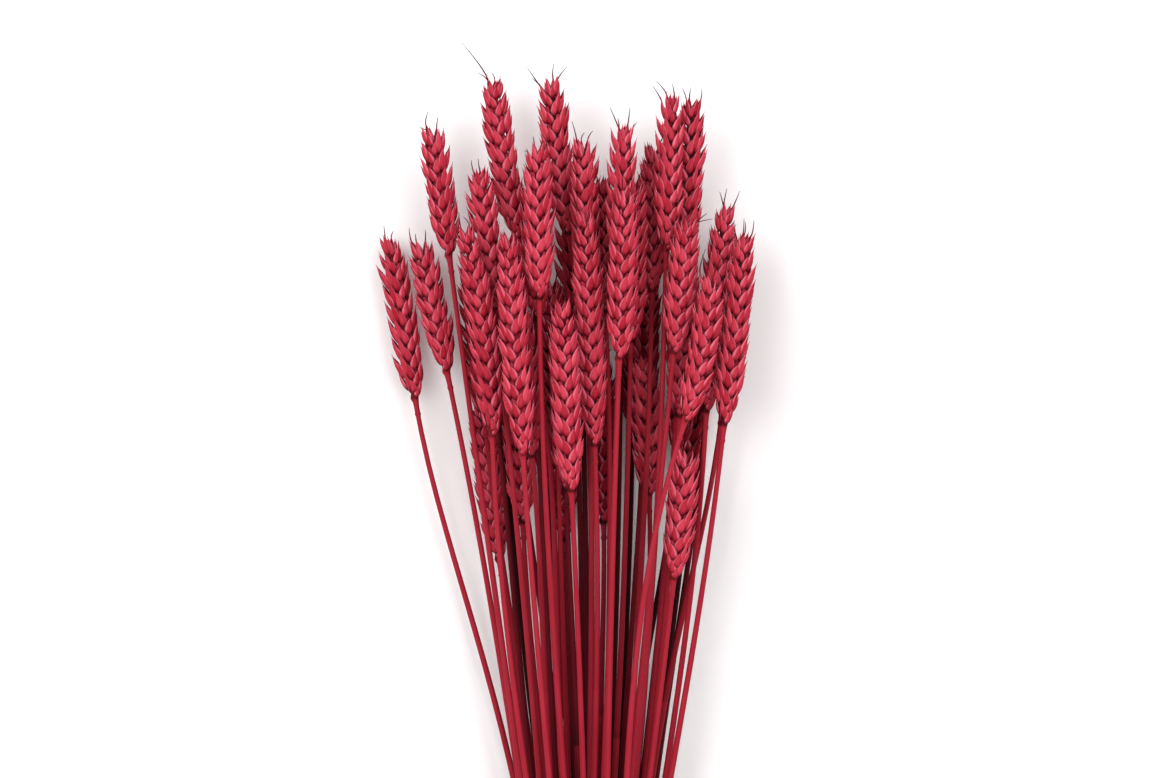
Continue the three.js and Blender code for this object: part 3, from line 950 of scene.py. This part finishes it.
@dataclass
class WheatStalk:
    """One stalk of wheat: its hollow straw, its neck and its ear."""

    number: int
    stalk: Stalk
    row: int
    seat: int
    seats: int
    shapes: dict[HuskKind, Mesh]
    stem_radius: float = 1.55
    neck_radius: float = 1.0
    stem_sides: int = 10
    tail_step: float = 1.3
    tail_steps: int = 7
    neck_length: float = 3.0
    top_length: float = 11.3
    spikelet_pitch: float = 4.1
    spikelet_lean: float = 12.5
    rachis_half_width: float = 1.1
    node_below: Point = (-85.0, -40.0)
    node_above: Point = (45.0, 130.0)
    sheath_ends: Point = (150.0, 235.0)
    sheath: float = 0.07
    straw_gain: float = 0.13
    gain_start: float = 40.0
    gain_span: float = 80.0
    ring_step: float = 15.0
    ring_gap: float = 4.0
    first_ring: float = 8.0
    last_gap: float = 7.0
    collar_below: float = 4.6
    rachis_width: float = 2.3
    rachis_depth: float = 1.5
    # The rachis's painted shade, for the crease between the ranks that it lies in.
    rachis_painted_shade: float = -0.45
    rachis_step: float = 0.4
    rachis_least: float = 0.85
    rachis_end: float = 0.4
    lean_play: float = 3.0
    splay_play: float = 2.5
    facing_play: float = 8.0
    # How much more of the stalk's painted shade goes into its husks than into its straw.
    painted_shade_share: float = 1.5
    awn_root: float = 0.74
    awn_husks: int = 14
    awn_rise: float = 1.5

    def __post_init__(self) -> None:
        """Works out the stalk's line and the lengths that follow from it."""
        self.line = GrowthLine(self.stalk, self.row, self.seat, self.seats)
        self.random = random.Random(SEEDS_APART * self.number + FIRST_SEED)
        self.neck_y = self.stalk.neck[1]
        self.tip_y = self.stalk.tip[1]
        self.ear_length = (self.line.at(self.tip_y) - self.line.at(self.neck_y)).length
        self.body = Body()
        self.husk_tips: list[tuple[Vector, Vector]] = []
        self.ear_plumpness = self.random.uniform(0.88, 1.04)
        self.plumpness = 1.0

    @property
    def name(self) -> str:
        """The node that the stalk stands for."""
        return f"wheat_stalk_{self.number:02d}"

    def along_ear(self, distance: float) -> float:
        """The distance y of a point of the ear, from its distance along the ear."""
        return self.neck_y + (self.tip_y - self.neck_y) * distance / self.ear_length

    def ear_axes(self, distance: float) -> tuple[Vector, Vector, Vector, Vector]:
        """Finds where a part of the ear is.

        Args:
            distance: Its distance from the neck.

        Returns:
            The point, and the directions along, to the side and to the face.
        """
        y = self.along_ear(distance)
        along = self.line.heading(y)
        part = distance / self.ear_length
        roll = self.stalk.turn + self.stalk.twist * (part - 0.5)
        side, face = axes_along(along, radians(roll))
        return self.line.at(y), along, side, face

    def near(self, value: float, play: float) -> float:
        """A value moved at random, by up to the play."""
        return value + self.random.uniform(-play, play)

    def build_straw(self) -> None:
        """Makes the stem from its cut end, through the neck, to the top of the rachis."""
        rand, line = self.random, self.line
        step = (3 * self.row + 5 * self.seat) % self.tail_steps
        cut = self.tail_step * step - WAIST.tail_length
        node_y = rand.choice((rand.uniform(*self.node_below), rand.uniform(*self.node_above)))
        sheath_end = node_y
        if node_y > 0 and rand.random() < 0.5:
            sheath_end = rand.uniform(*self.sheath_ends)
        # A random tone, lowered by the stalk's painted shade.
        tone = rand.uniform(0.25, 0.75) - self.stalk.painted_shade

        def ring(y: float, swell: float = 1.0, shade: float = 0.0, slot: int = STRAW) -> Ring:
            """Makes a ring of the straw.

            Args:
                y: The distance from the tie.
                swell: How wide it is, where 1 is plain.
                shade: How much lighter it is.
                slot: The finish that it wears.

            Returns:
                The ring.
            """
            part = max(0.0, y) / self.neck_y
            size = self.stem_radius + (self.neck_radius - self.stem_radius) * part
            size *= 1.0 + self.straw_gain * eased(y, self.gain_start, self.gain_span)
            size = (size + (self.sheath if node_y < y < sheath_end else 0.0)) * swell
            return Ring(line.at(y), line.heading(y), size, size, y, tone + shade, slot)

        rings = [ring(cut + offset, wide, 0.0, slot) for offset, wide, slot in CUT_END]
        marks = {}
        y = cut + self.first_ring
        while True:
            if min(abs(y - node_y), abs(y - sheath_end)) > self.ring_gap:
                marks[y] = (1.0, 0.0)
            if y + self.ring_step >= self.neck_y - self.last_gap:
                break
            y += self.ring_step
        forms = [(node_y, NODE), (self.neck_y - self.collar_below, COLLAR), (self.neck_y, NECK)]
        if sheath_end > node_y:
            forms.insert(1, (sheath_end, SHEATH_EDGE))
        for middle, form in forms:
            marks |= {middle + offset: (swell, shade) for offset, swell, shade in form}
        rings += [ring(y, *marks[y]) for y in sorted(marks)]
        self.body.skin(rings + self._rachis_rings(tone), self.stem_sides)

    def _rachis_rings(self, tone: float) -> list[Ring]:
        """Makes the rings of the rachis, which steps from side to side under the spikelets.

        Args:
            tone: How light the straw is.

        Returns:
            The rings.
        """
        rings = []
        roll = radians(self.stalk.turn)
        for level, distance in enumerate(self.spikelet_roots()):
            middle, along, side, _ = self.ear_axes(distance)
            rank = 1 if level % 2 == 0 else -1
            size = max(self.rachis_least, self.fullness(distance / self.ear_length))
            middle = middle - side * (rank * self.rachis_step * size)
            wide, deep = self.rachis_width * size, self.rachis_depth * size
            # Painted shade: the rachis is darkened because it lies in the crease between the two
            # ranks.
            shade = tone + self.rachis_painted_shade
            rings.append(Ring(middle, along, wide, deep, distance, shade, STRAW, roll))
        top, along, _, _ = self.ear_axes(self.ear_length - self.top_length + 3.0)
        end = self.rachis_end
        rings.append(Ring(top, along, end, end, self.ear_length, tone, STRAW))
        return rings

    def spikelet_roots(self) -> list[float]:
        """Where the side spikelets stand along the ear, closer together at its base.

        Returns:
            Their distances from the neck.
        """
        room = self.ear_length - self.top_length - self.neck_length
        count = round(room / self.spikelet_pitch) + 2
        gaps = [min(1.0, 0.55 + 0.13 * level) for level in range(count - 1)]
        scale = room / sum(gaps)
        roots = [self.neck_length]
        for gap in gaps:
            roots.append(roots[-1] + gap * scale)
        return roots

    @staticmethod
    def fullness(part: float) -> float:
        """How full the ear is, from its neck (0) to its top (1)."""
        return min(1.0, 0.6 + 2.6 * part) * min(1.0, 0.5 + 1.4 * (1.0 - part))

    def build_ear(self) -> None:
        """Makes the ear: spikelets in two ranks, the top one, and the awns."""
        for level, distance in enumerate(self.spikelet_roots()):
            part = distance / self.ear_length
            size = self.fullness(part) * self.random.uniform(0.96, 1.05)
            rank = 1 if level % 2 == 0 else -1
            lean = self.spikelet_lean * min(1.0, 0.6 + 3.0 * part, 1.0 + 2.0 * (0.75 - part))
            self.plumpness = self.ear_plumpness * (1.0 - 0.12 * eased(part, 0.4, 0.4))
            husks = SPIKELET if level > 1 else SPIKELET[:4]
            root = self.rachis_half_width
            self._spikelet(husks, distance, rank, size, self.near(lean, 2.5), root)
        self.plumpness = 1.0
        top = self.ear_length - self.top_length - 1.0
        self._spikelet(TOP_SPIKELET, top, 1, 0.9, 0.0, 0.0, crosswise=True)
        self._awns()

    def _spikelet(
        self,
        husks: Iterable[HuskPlace],
        distance: float,
        rank: int,
        size: float,
        lean: float,
        root: float,
        crosswise: bool = False,
    ) -> None:
        """Places the husks of one spikelet.

        Args:
            husks: Its husks.
            distance: How far along the ear it is rooted.
            rank: 1 on the right, -1 on the left.
            size: Its size, where 1 is full.
            lean: How far it leans away from the rachis, in degrees.
            root: How far from the ear's axis it is rooted, in mm.
            crosswise: Whether it is turned a quarter, as the top one is.
        """
        point, along, side, face = self.ear_axes(distance)
        if crosswise:
            side, face = -face, side
        angle = radians(lean)
        out = side * rank
        up = along * cos(angle) + out * sin(angle)
        out = out * cos(angle) - along * sin(angle)
        point = point + side * (rank * root * size)
        for husk in husks:
            self._husk(husk, point, up, out, face, size)

    def _husk(
        self, husk: HuskPlace, point: Vector, up: Vector, out: Vector, face: Vector, size: float
    ) -> None:
        """Places one husk.

        Args:
            husk: Where it stands in its spikelet.
            point: The spikelet's root.
            up: The spikelet's axis.
            out: The way away from the rachis.
            face: The way to the ear's face.
            size: The spikelet's size, where 1 is full.
        """
        rand = self.random
        lean = tan(radians(self.near(husk.lean * size, self.lean_play)))
        splay = tan(radians(self.near(husk.splay, self.splay_play)))
        axis = (up + out * lean + face * splay).normalized()
        facing = radians(self.near(husk.facing, self.facing_play))
        back = out * cos(facing) + face * sin(facing)
        back = (back - axis * back.dot(axis)).normalized()
        length = husk.length * size**0.75 * rand.uniform(0.93, 1.05)
        half = husk.half_width * size * rand.uniform(0.92, 1.06)
        half *= self.plumpness if husk.kind is GLUME else 1.0
        sides = (back.cross(axis) * half, back * (husk.depth * size), axis * length)
        root = point + (up * husk.up + out * husk.out + face * husk.front) * size
        place = Matrix.Translation(root) @ Matrix(sides).transposed().to_4x4()
        # A random tone, lowered further by the stalk's painted shade.
        tone = rand.random() - self.painted_shade_share * self.stalk.painted_shade
        self.body.stamp(self.shapes[husk.kind], place, tone, HUSK)
        ends = [place @ Vector((0.0, 0.0, height)) for height in (1.0, self.awn_root)]
        self.husk_tips.append((ends[0], ends[1]))

    def _awns(self) -> None:
        """Makes the awns, each from the husk whose tip is nearest to the awn's end."""
        rand = self.random
        ends = list(self.stalk.awns)
        if not ends:
            tip_x, tip_y = self.stalk.tip
            for _ in range(rand.choice((2, 3))):
                ends.append((self.near(tip_x, 6.0), tip_y + rand.uniform(0.0, 4.0)))
        high = self.line.at(self.tip_y).z
        upper = sorted(self.husk_tips, key=lambda husk: -husk[0].y)[:self.awn_husks]
        for x, y in ends:
            below = [husk for husk in upper if husk[0].y < y - 1.5] or upper
            tip, root = min(below, key=lambda husk: hypot(husk[0].x - x, husk[0].y - y))
            height = self.near(min(tip.z, high + 3.0), self.awn_rise)
            self._awn(root, tip, Vector((x, y, height)))

    def _awn(self, root: Vector, tip: Vector, end: Vector, steps: int = 6) -> None:
        """Makes one awn: a stiff bristle that tapers and bends a little.

        Args:
            root: Where it starts, inside its husk.
            tip: The husk's tip.
            end: Its own tip.
            steps: How many lengths its skin has.
        """
        way = end - tip
        heading = way.normalized()
        aside = heading.cross(UP).normalized() * self.near(0.0, 0.07) * way.length
        base = 0.24 + 0.006 * way.length
        rings = []
        for step in range(steps + 1):
            part = step / steps
            middle = root.lerp(tip, part).lerp(tip.lerp(end, part), part)
            middle += aside * (4 * part * (1 - part))
            thick = base * (1 - part) ** 0.8 + 0.09
            shade = 0.3 - 0.6 * part
            rings.append(Ring(middle, heading, thick, thick, part * 4.0, shade, STRAW))
        self.body.skin(rings, 5)

    def build(self, finishes: Finishes) -> Object:
        """Makes the whole stalk.

        Args:
            finishes: The shared finishes.

        Returns:
            The piece, which stands for the stalk's node.
        """
        self.build_straw()
        self.build_ear()
        finish = (finishes.husk, finishes.straw, finishes.cut)
        piece = self.body.finish(f"{self.name}_fine", finish)
        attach(piece, "root")
        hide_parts(self.name)
        return piece


# ---- the tie


@dataclass
class TwineTie:
    """Four turns of jute twine round the stems, knotted on top, with two short ends."""

    half_width: float = 15.7
    half_height: float = 13.4
    squareness: float = 2.7
    turns: int = 4
    radius: float = 1.25
    strands: int = 3
    lay: float = 7.5
    steps_per_turn: int = 96
    sides: int = 7
    knot_lift: float = 1.8
    knot_size: tuple[float, float, float] = (0.95, 0.8, 0.95)
    knot_length: float = 34.0
    knot_steps: int = 60
    end_length: float = 25.0
    end_steps: int = 30
    strand_out: float = 0.5
    strand_radius: float = 0.56
    unevenness: float = 0.05
    ends: tuple[tuple[tuple[float, float, float], ...], ...] = (
        ((0, 0, 0), (5, -5, 1.4), (9, -12, 1.6), (11, -21, 1.2)),
        ((0, 0, 0), (-4, -6, 1.4), (-6, -14, 1.6), (-11, -20, 1.2)),
    )

    def __post_init__(self) -> None:
        """Starts the mesh."""
        self.body = Body()
        self.random = random.Random(41)

    def reach(self, angle: float) -> float:
        """How far the inside of the tie lies from its middle, at an angle."""
        across = abs(cos(angle) / self.half_width) ** self.squareness
        upwards = abs(sin(angle) / self.half_height) ** self.squareness
        return (across + upwards) ** (-1 / self.squareness)

    @staticmethod
    def _across(path: Callable[[float], Vector], part: float) -> tuple[Vector, Vector]:
        """Finds the directions across a path.

        Args:
            path: The path, from 0 to 1.
            part: How far along it.

        Returns:
            Two directions across it.
        """
        ahead, behind = min(1.0, part + 1e-3), max(0.0, part - 1e-3)
        heading = (path(ahead) - path(behind)).normalized()
        if abs(heading.z) < 0.99:
            return axes_along(heading, 0.0)
        return Vector((1.0, 0.0, 0.0)), Vector((0.0, 1.0, 0.0))

    def _strands_along(self, path: Callable[[float], Vector], length: float, steps: int) -> None:
        """Twists strands round a path.

        Args:
            path: The path, from 0 to 1.
            length: Its length.
            steps: How many lengths each strand has.
        """
        offset = self.radius * self.strand_out
        thick = self.radius * self.strand_radius
        for strand in range(self.strands):
            middles = []
            for step in range(steps + 1):
                part = step / steps
                side, face = self._across(path, part)
                angle = 2 * pi * (part * length / self.lay + strand / self.strands)
                out = side * cos(angle) + face * sin(angle)
                middles.append(path(part) + out * offset)
            tone = self.random.uniform(0.2, 0.8)
            rings = []
            for step, middle in enumerate(middles):
                before, after = middles[max(0, step - 1)], middles[min(steps, step + 1)]
                size = thick * (1.0 + self.unevenness * sin(step * 1.7 + strand))
                heading = (after - before).normalized()
                rings.append(Ring(middle, heading, size, size, step / steps * length, tone))
            self.body.skin(rings, self.sides)

    def _turn_path(self, turn: int) -> Callable[[float], Vector]:
        """Lays one turn of the twine, which runs round under the knot.

        Args:
            turn: Its number.

        Returns:
            Its middle, as a path from 0 to 1.
        """
        y = (turn - (self.turns - 1) / 2) * 2 * self.radius

        def path(part: float) -> Vector:
            """A point of the turn."""
            angle = pi / 2 + 2 * pi * part
            reach = self.reach(angle) + self.radius
            return Vector((reach * cos(angle), y, WAIST.centre + reach * sin(angle)))

        return path

    def _top(self) -> float:
        """The height of the knot's seat on the turns."""
        return WAIST.centre + self.half_height + self.knot_lift

    def _knot_path(self, part: float) -> Vector:
        """Lays the knot, where the twine loops over and under itself.

        Args:
            part: How far along it, from 0 to 1.

        Returns:
            The middle of the twine there.
        """
        angle = 2 * pi * part
        x = sin(angle) + 2 * sin(2 * angle)
        y = cos(angle) - 2 * cos(2 * angle)
        wide, long, high = self.knot_size
        return Vector((x * wide, y * long, self._top() + 0.9 - sin(3 * angle) * high))

    def _end_path(self, end: Sequence[Sequence[float]]) -> Callable[[float], Vector]:
        """Lays a free end, as a smooth curve through its points.

        Args:
            end: The points, from the knot.

        Returns:
            Its middle, as a path from 0 to 1.
        """
        points = [Vector((0.0, 0.0, self._top())) + Vector(point) for point in end]

        def path(part: float) -> Vector:
            """A point of the end."""
            place = part * (len(points) - 1)
            index = min(int(place), len(points) - 2)
            t = place - index
            a, b = points[max(0, index - 1)], points[index]
            c, d = points[index + 1], points[min(len(points) - 1, index + 2)]
            return 0.5 * (
                2 * b + (c - a) * t + (2 * a - 5 * b + 4 * c - d) * t * t
                + (3 * b - 3 * c + d - a) * t * t * t
            )

        return path

    def build(self, finishes: Finishes) -> Object:
        """Makes the tie.

        Args:
            finishes: The shared finishes.

        Returns:
            The piece, which stands for the tie's node.
        """
        round_length = 2 * pi * (self.half_width + self.half_height) / 2 * 1.1
        for turn in range(self.turns):
            self._strands_along(self._turn_path(turn), round_length, self.steps_per_turn)
        self._strands_along(self._knot_path, self.knot_length, self.knot_steps)
        for end in self.ends:
            self._strands_along(self._end_path(end), self.end_length, self.end_steps)
        piece = self.body.finish("tie_fine", (finishes.twine,))
        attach(piece, "root")
        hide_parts("tie")
        return piece


# ---- the studio


@dataclass(frozen=True)
class SoftLight:
    """A soft square light: its power in watts, its side in metres and where it stands."""

    name: str
    power: float
    side: float
    place: tuple[float, float, float]
    aim: tuple[float, float, float] = (0.0, 0.1, 0.04)

    def build(self) -> None:
        """Makes the light, unseen by the camera."""
        data = bpy.data.lights.new(self.name, "AREA")
        data.energy = self.power
        data.shape = "SQUARE"
        data.size = self.side
        light = placed(self.name, data)
        light.location = self.place
        way = Vector(self.aim) - Vector(self.place)
        light.rotation_euler = way.to_track_quat("-Z", "Y").to_euler()
        light.visible_camera = False


@dataclass(frozen=True)
class Studio:
    """The pale floor, the soft lights and the camera that looks straight down."""

    view_width: float = 525.6
    view_middle: tuple[float, float] = (-4.0, 333.0)
    distance: float = 5.0
    aimed_height: float = 0.05
    sensor: float = 36.0
    clip: tuple[float, float] = (0.1, 60.0)
    floor_side: float = 40.0
    sky: float = 0.7
    gamma: float = 0.88
    lights: tuple[SoftLight, ...] = (
        SoftLight("left", 32.0, 1.3, (-0.85, 0.5, 2.6)),
        SoftLight("right", 27.0, 1.3, (0.85, 0.5, 2.6)),
    )

    def build_camera(self) -> None:
        """Makes the camera, looking straight down with the ears at the top."""
        data = bpy.data.cameras.new("camera")
        data.sensor_width = self.sensor
        data.lens = self.sensor * self.distance / (self.view_width * MM)
        data.clip_start, data.clip_end = self.clip
        camera = placed("camera", data)
        middle = frame_from_layout() @ Vector((*self.view_middle, 0.0))
        camera.location = (middle.x, middle.y, self.aimed_height + self.distance)
        bpy.context.scene.camera = camera

    def build_floor(self, finish: Material) -> None:
        """Makes the floor, which isn't part of the bunch.

        Args:
            finish: Its finish.
        """
        flat = bmesh.new()
        bmesh.ops.create_grid(flat, x_segments=4, y_segments=4, size=self.floor_side / 2)
        data = bpy.data.meshes.new("floor")
        flat.to_mesh(data)
        flat.free()
        data.materials.append(finish)
        floor = placed("floor", data)

    def build_light(self) -> None:
        """Makes the soft lights and the even light from all round."""
        scene = bpy.context.scene
        scene.view_settings.view_transform = "Standard"
        scene.view_settings.gamma = self.gamma
        world = bpy.data.worlds.new("studio")
        world.use_nodes = True
        sky = world.node_tree.nodes["Background"]
        sky.inputs["Color"].default_value = (1.0, 1.0, 1.0, 1.0)
        sky.inputs["Strength"].default_value = self.sky
        scene.world = world
        for light in self.lights:
            light.build()

    def build(self, finishes: Finishes) -> None:
        """Makes the whole studio.

        Args:
            finishes: The shared finishes.
        """
        self.build_camera()
        self.build_light()
        self.build_floor(finishes.floor)


# ---- the bunch


@dataclass
class WheatBunch:
    """The whole bunch: its stalks, row by row, and its tie."""

    finishes: Finishes

    def build(self) -> list[Object]:
        """Makes every piece.

        Returns:
            The pieces.
        """
        shapes = {kind: form.build(kind.value) for kind, form in HUSK_FORMS.items()}
        pieces = [TwineTie().build(self.finishes)]
        number = 0
        for row, stalks in enumerate(ROWS):
            for seat, stalk in enumerate(stalks):
                number += 1
                made = WheatStalk(number, stalk, row, seat, len(stalks), shapes)
                pieces.append(made.build(self.finishes))
        for shape in shapes.values():
            bpy.data.meshes.remove(shape)
        return pieces


def main() -> None:
    """Makes the bunch and its studio, and reports each piece."""
    logging.basicConfig(level=logging.INFO, format="%(name)s: %(message)s")
    finishes = Finishes()
    Studio().build(finishes)
    for piece in WheatBunch(finishes).build():
        LOG.info("%s: %d faces", piece.name, len(piece.data.polygons))


if __name__ == "__main__":
    main()
